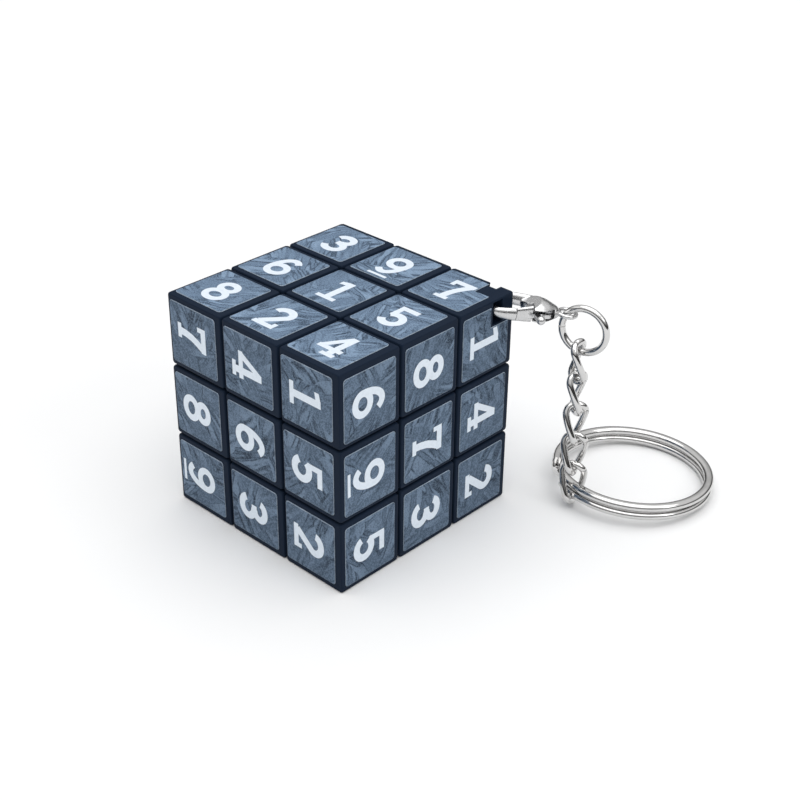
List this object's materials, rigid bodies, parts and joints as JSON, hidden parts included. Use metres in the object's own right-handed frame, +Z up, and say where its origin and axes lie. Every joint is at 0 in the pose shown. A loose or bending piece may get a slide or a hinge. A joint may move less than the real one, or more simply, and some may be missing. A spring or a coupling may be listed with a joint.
{
  "type": "keychain puzzle cube",
  "caption": "Turning puzzle cube with numbered tiles, hung from a corner lug by a lobster clasp, jump ring, twisted-link chain and split key ring.",
  "frame": {"origin": "centre of the cube's bottom face, on the surface it stands on", "axes": "+Z up, +X out of the right face, +Y out of the back face; the lug is at the top back right corner"},
  "size_m": [0.0597, 0.0642, 0.035],
  "materials": {
    "cube_plastic": "moulded, satin, nearly black",
    "core_plastic": "moulded",
    "spring_steel": "bright",
    "nickel_plate": "polished nickel plating",
    "tile_foil": "embossed foil sticker with a wavy grain",
    "digit_white": "printed"
  },
  "bodies": {
    "core": {"core_spider": "core_plastic", "screw_top": "spring_steel", "screw_bottom": "spring_steel", "screw_front": "spring_steel", "screw_back": "spring_steel", "screw_left": "spring_steel", "screw_right": "spring_steel", "spring_top": "spring_steel", "spring_bottom": "spring_steel", "spring_front": "spring_steel", "spring_back": "spring_steel", "spring_left": "spring_steel", "spring_right": "spring_steel"},
    "top_centre": {"centre_top": "cube_plastic", "centre_cap_top": "cube_plastic"},
    "bottom_centre": {"centre_bottom": "cube_plastic", "centre_cap_bottom": "cube_plastic"},
    "front_centre": {"centre_front": "cube_plastic", "centre_cap_front": "cube_plastic"},
    "back_centre": {"centre_back": "cube_plastic", "centre_cap_back": "cube_plastic"},
    "left_centre": {"centre_left": "cube_plastic", "centre_cap_left": "cube_plastic"},
    "right_centre": {"centre_right": "cube_plastic", "centre_cap_right": "cube_plastic"},
    "edge_front_left": {"edge_front_left": "cube_plastic"},
    "edge_front_right": {"edge_front_right": "cube_plastic"},
    "edge_back_left": {"edge_back_left": "cube_plastic"},
    "edge_back_right": {"edge_back_right": "cube_plastic"},
    "edge_top_front": {"edge_top_front": "cube_plastic"},
    "edge_top_back": {"edge_top_back": "cube_plastic"},
    "edge_top_left": {"edge_top_left": "cube_plastic"},
    "edge_top_right": {"edge_top_right": "cube_plastic"},
    "edge_bottom_front": {"edge_bottom_front": "cube_plastic"},
    "edge_bottom_back": {"edge_bottom_back": "cube_plastic"},
    "edge_bottom_left": {"edge_bottom_left": "cube_plastic"},
    "edge_bottom_right": {"edge_bottom_right": "cube_plastic"},
    "corner_top_front_left": {"corner_top_front_left": "cube_plastic"},
    "corner_top_front_right": {"corner_top_front_right": "cube_plastic"},
    "corner_top_back_left": {"corner_top_back_left": "cube_plastic"},
    "corner_top_back_right_lug": {"corner_top_back_right_lug": "cube_plastic"},
    "corner_bottom_front_left": {"corner_bottom_front_left": "cube_plastic"},
    "corner_bottom_front_right": {"corner_bottom_front_right": "cube_plastic"},
    "corner_bottom_back_left": {"corner_bottom_back_left": "cube_plastic"},
    "corner_bottom_back_right": {"corner_bottom_back_right": "cube_plastic"},
    "clasp": {"clasp_body": "nickel_plate", "clasp_pin": "nickel_plate", "clasp_spring": "spring_steel"},
    "gate": {"clasp_gate": "nickel_plate"},
    "jump_ring": {"jump_ring": "nickel_plate"},
    "chain_link_1": {"chain_link_1": "nickel_plate"},
    "chain_link_2": {"chain_link_2": "nickel_plate"},
    "chain_link_3": {"chain_link_3": "nickel_plate"},
    "chain_link_4": {"chain_link_4": "nickel_plate"},
    "chain_link_5": {"chain_link_5": "nickel_plate"},
    "split_ring": {"split_ring": "nickel_plate"}
  },
  "joints": [
    {"name": "top_turn", "type": "hinge", "parent": "core", "child": "top_centre", "pos_m": [0, 0, 0.0175], "axis": [0, 0, 1], "continuous": true},
    {"name": "bottom_turn", "type": "hinge", "parent": "core", "child": "bottom_centre", "pos_m": [0, 0, 0.0175], "axis": [0, 0, 1], "continuous": true},
    {"name": "front_turn", "type": "hinge", "parent": "core", "child": "front_centre", "pos_m": [0, 0, 0.0175], "axis": [0, 1, 0], "continuous": true},
    {"name": "back_turn", "type": "hinge", "parent": "core", "child": "back_centre", "pos_m": [0, 0, 0.0175], "axis": [0, 1, 0], "continuous": true},
    {"name": "left_turn", "type": "hinge", "parent": "core", "child": "left_centre", "pos_m": [0, 0, 0.0175], "axis": [1, 0, 0], "continuous": true},
    {"name": "right_turn", "type": "hinge", "parent": "core", "child": "right_centre", "pos_m": [0, 0, 0.0175], "axis": [1, 0, 0], "continuous": true},
    {"name": "edge_front_left_follow", "type": "hinge", "parent": "left_centre", "child": "edge_front_left", "pos_m": [0, 0, 0.0175], "axis": [0, 1, 0], "continuous": true},
    {"name": "edge_front_right_follow", "type": "hinge", "parent": "right_centre", "child": "edge_front_right", "pos_m": [0, 0, 0.0175], "axis": [0, 1, 0], "continuous": true},
    {"name": "edge_back_left_follow", "type": "hinge", "parent": "left_centre", "child": "edge_back_left", "pos_m": [0, 0, 0.0175], "axis": [0, 1, 0], "continuous": true},
    {"name": "edge_back_right_follow", "type": "hinge", "parent": "right_centre", "child": "edge_back_right", "pos_m": [0, 0, 0.0175], "axis": [0, 1, 0], "continuous": true},
    {"name": "edge_top_front_follow", "type": "hinge", "parent": "front_centre", "child": "edge_top_front", "pos_m": [0, 0, 0.0175], "axis": [0, 0, 1], "continuous": true},
    {"name": "edge_top_back_follow", "type": "hinge", "parent": "back_centre", "child": "edge_top_back", "pos_m": [0, 0, 0.0175], "axis": [0, 0, 1], "continuous": true},
    {"name": "edge_top_left_follow", "type": "hinge", "parent": "top_centre", "child": "edge_top_left", "pos_m": [0, 0, 0.0175], "axis": [1, 0, 0], "continuous": true},
    {"name": "edge_top_right_follow", "type": "hinge", "parent": "top_centre", "child": "edge_top_right", "pos_m": [0, 0, 0.0175], "axis": [1, 0, 0], "continuous": true},
    {"name": "edge_bottom_front_follow", "type": "hinge", "parent": "front_centre", "child": "edge_bottom_front", "pos_m": [0, 0, 0.0175], "axis": [0, 0, 1], "continuous": true},
    {"name": "edge_bottom_back_follow", "type": "hinge", "parent": "back_centre", "child": "edge_bottom_back", "pos_m": [0, 0, 0.0175], "axis": [0, 0, 1], "continuous": true},
    {"name": "edge_bottom_left_follow", "type": "hinge", "parent": "bottom_centre", "child": "edge_bottom_left", "pos_m": [0, 0, 0.0175], "axis": [1, 0, 0], "continuous": true},
    {"name": "edge_bottom_right_follow", "type": "hinge", "parent": "bottom_centre", "child": "edge_bottom_right", "pos_m": [0, 0, 0.0175], "axis": [1, 0, 0], "continuous": true},
    {"name": "corner_top_front_left_follow", "type": "hinge", "parent": "edge_top_front", "child": "corner_top_front_left", "pos_m": [0, 0, 0.0175], "axis": [1, 0, 0], "continuous": true},
    {"name": "corner_top_front_right_follow", "type": "hinge", "parent": "edge_top_front", "child": "corner_top_front_right", "pos_m": [0, 0, 0.0175], "axis": [1, 0, 0], "continuous": true},
    {"name": "corner_top_back_left_follow", "type": "hinge", "parent": "edge_top_back", "child": "corner_top_back_left", "pos_m": [0, 0, 0.0175], "axis": [1, 0, 0], "continuous": true},
    {"name": "corner_top_back_right_lug_follow", "type": "hinge", "parent": "edge_top_back", "child": "corner_top_back_right_lug", "pos_m": [0, 0, 0.0175], "axis": [1, 0, 0], "continuous": true},
    {"name": "corner_bottom_front_left_follow", "type": "hinge", "parent": "edge_bottom_front", "child": "corner_bottom_front_left", "pos_m": [0, 0, 0.0175], "axis": [1, 0, 0], "continuous": true},
    {"name": "corner_bottom_front_right_follow", "type": "hinge", "parent": "edge_bottom_front", "child": "corner_bottom_front_right", "pos_m": [0, 0, 0.0175], "axis": [1, 0, 0], "continuous": true},
    {"name": "corner_bottom_back_left_follow", "type": "hinge", "parent": "edge_bottom_back", "child": "corner_bottom_back_left", "pos_m": [0, 0, 0.0175], "axis": [1, 0, 0], "continuous": true},
    {"name": "corner_bottom_back_right_follow", "type": "hinge", "parent": "edge_bottom_back", "child": "corner_bottom_back_right", "pos_m": [0, 0, 0.0175], "axis": [1, 0, 0], "continuous": true},
    {"name": "clasp_swing", "type": "hinge", "parent": "corner_top_back_right_lug", "child": "clasp", "pos_m": [0.0163, 0.0163, 0.03278], "axis": [0, 0, 1], "range_deg": [-45, 40]},
    {"name": "gate_open", "type": "hinge", "parent": "clasp", "child": "gate", "pos_m": [0.02141, 0.02, 0.03185], "axis": [-0.1045, -0.1045, -0.989], "range_deg": [0, 20], "stiffness_Nm_per_rad": 0.0006, "springref_deg": -34.38},
    {"name": "jump_ring_swing", "type": "hinge", "parent": "clasp", "child": "jump_ring", "pos_m": [0.02392, 0.02392, 0.03117], "axis": [-0.7071, 0.7071, 0], "range_deg": [-30, 12]},
    {"name": "link_1_swing", "type": "hinge", "parent": "jump_ring", "child": "chain_link_1", "pos_m": [0.02511, 0.02354, 0.02588], "axis": [0.9556, 0.2382, -0.1736], "range_deg": [-30, 30]},
    {"name": "link_2_swing", "type": "hinge", "parent": "chain_link_1", "child": "chain_link_2", "pos_m": [0.02543, 0.02337, 0.02091], "axis": [0.9972, -0.0338, 0.0664], "range_deg": [-30, 30]},
    {"name": "link_3_swing", "type": "hinge", "parent": "chain_link_2", "child": "chain_link_3", "pos_m": [0.02576, 0.0232, 0.01592], "axis": [-0.9248, 0.3734, -0.073], "range_deg": [-30, 30]},
    {"name": "link_4_swing", "type": "hinge", "parent": "chain_link_3", "child": "chain_link_4", "pos_m": [0.02609, 0.02304, 0.01092], "axis": [0.6924, -0.7182, 0.0692], "range_deg": [-30, 30]},
    {"name": "link_5_swing", "type": "hinge", "parent": "chain_link_4", "child": "chain_link_5", "pos_m": [0.02641, 0.02287, 0.00592], "axis": [-0.4207, 0.9053, -0.0577], "range_deg": [-30, 30]},
    {"name": "split_ring_swing", "type": "hinge", "parent": "chain_link_5", "child": "split_ring", "pos_m": [0.02674, 0.0227, 0.00093], "axis": [-0.2907, 0.9555, -0.0509], "range_deg": [-11, 10]}
  ],
  "couplings": [
    {"joint": "edge_front_left_follow", "follows": "front_turn", "ratio": 1},
    {"joint": "edge_front_right_follow", "follows": "front_turn", "ratio": 1},
    {"joint": "edge_back_left_follow", "follows": "back_turn", "ratio": 1},
    {"joint": "edge_back_right_follow", "follows": "back_turn", "ratio": 1},
    {"joint": "edge_top_front_follow", "follows": "top_turn", "ratio": 1},
    {"joint": "edge_top_back_follow", "follows": "top_turn", "ratio": 1},
    {"joint": "edge_top_left_follow", "follows": "left_turn", "ratio": 1},
    {"joint": "edge_top_right_follow", "follows": "right_turn", "ratio": 1},
    {"joint": "edge_bottom_front_follow", "follows": "bottom_turn", "ratio": 1},
    {"joint": "edge_bottom_back_follow", "follows": "bottom_turn", "ratio": 1},
    {"joint": "edge_bottom_left_follow", "follows": "left_turn", "ratio": 1},
    {"joint": "edge_bottom_right_follow", "follows": "right_turn", "ratio": 1},
    {"joint": "corner_top_front_left_follow", "follows": "left_turn", "ratio": 1},
    {"joint": "corner_top_front_right_follow", "follows": "right_turn", "ratio": 1},
    {"joint": "corner_top_back_left_follow", "follows": "left_turn", "ratio": 1},
    {"joint": "corner_top_back_right_lug_follow", "follows": "right_turn", "ratio": 1},
    {"joint": "corner_bottom_front_left_follow", "follows": "left_turn", "ratio": 1},
    {"joint": "corner_bottom_front_right_follow", "follows": "right_turn", "ratio": 1},
    {"joint": "corner_bottom_back_left_follow", "follows": "left_turn", "ratio": 1},
    {"joint": "corner_bottom_back_right_follow", "follows": "right_turn", "ratio": 1}
  ]
}
